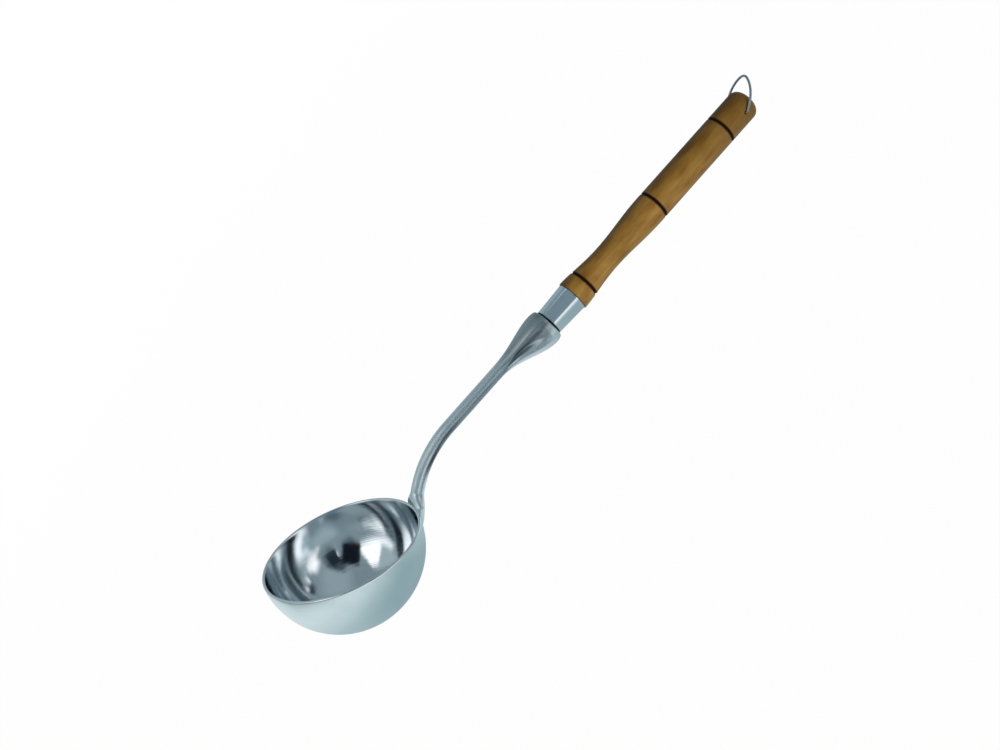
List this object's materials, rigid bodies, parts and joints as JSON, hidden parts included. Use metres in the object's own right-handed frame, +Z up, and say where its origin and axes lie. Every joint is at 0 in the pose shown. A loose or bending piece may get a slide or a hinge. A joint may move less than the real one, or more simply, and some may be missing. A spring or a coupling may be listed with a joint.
{
  "type": "soup ladle",
  "caption": "Soup ladle with a round metal bowl, a fluted metal arm, a ferrule, a turned wooden grip and a swinging wire hanging loop.",
  "frame": {"origin": "middle of the lying ladle's box, on the surface that the ladle lies on", "axes": "+X from the bowl towards the hanging loop, +Y across the ladle through its plane of symmetry, +Z up; the ladle lies on the bowl's belly and on the end of the grip"},
  "size_m": [0.427, 0.1, 0.0749],
  "materials": {
    "bowl_metal": "mirror polished inside, satin outside",
    "arm_metal": "polished casting",
    "ferrule_metal": "polished",
    "stud_steel": "plain steel, hidden",
    "grip_wood": "varnished light wood with three burnt rings",
    "loop_wire": "drawn steel wire"
  },
  "bodies": {
    "ladle": {"bowl": "bowl_metal", "arm": "arm_metal", "ferrule": "ferrule_metal", "tang_stud": "stud_steel", "grip": "grip_wood"},
    "hanging_loop": {"hang_loop": "loop_wire"}
  },
  "joints": [
    {"name": "loop_swing", "type": "hinge", "parent": "ladle", "child": "hanging_loop", "pos_m": [0.19397, 0, 0.01076], "axis": [0, 1, 0], "range_deg": [-112, 184]}
  ]
}
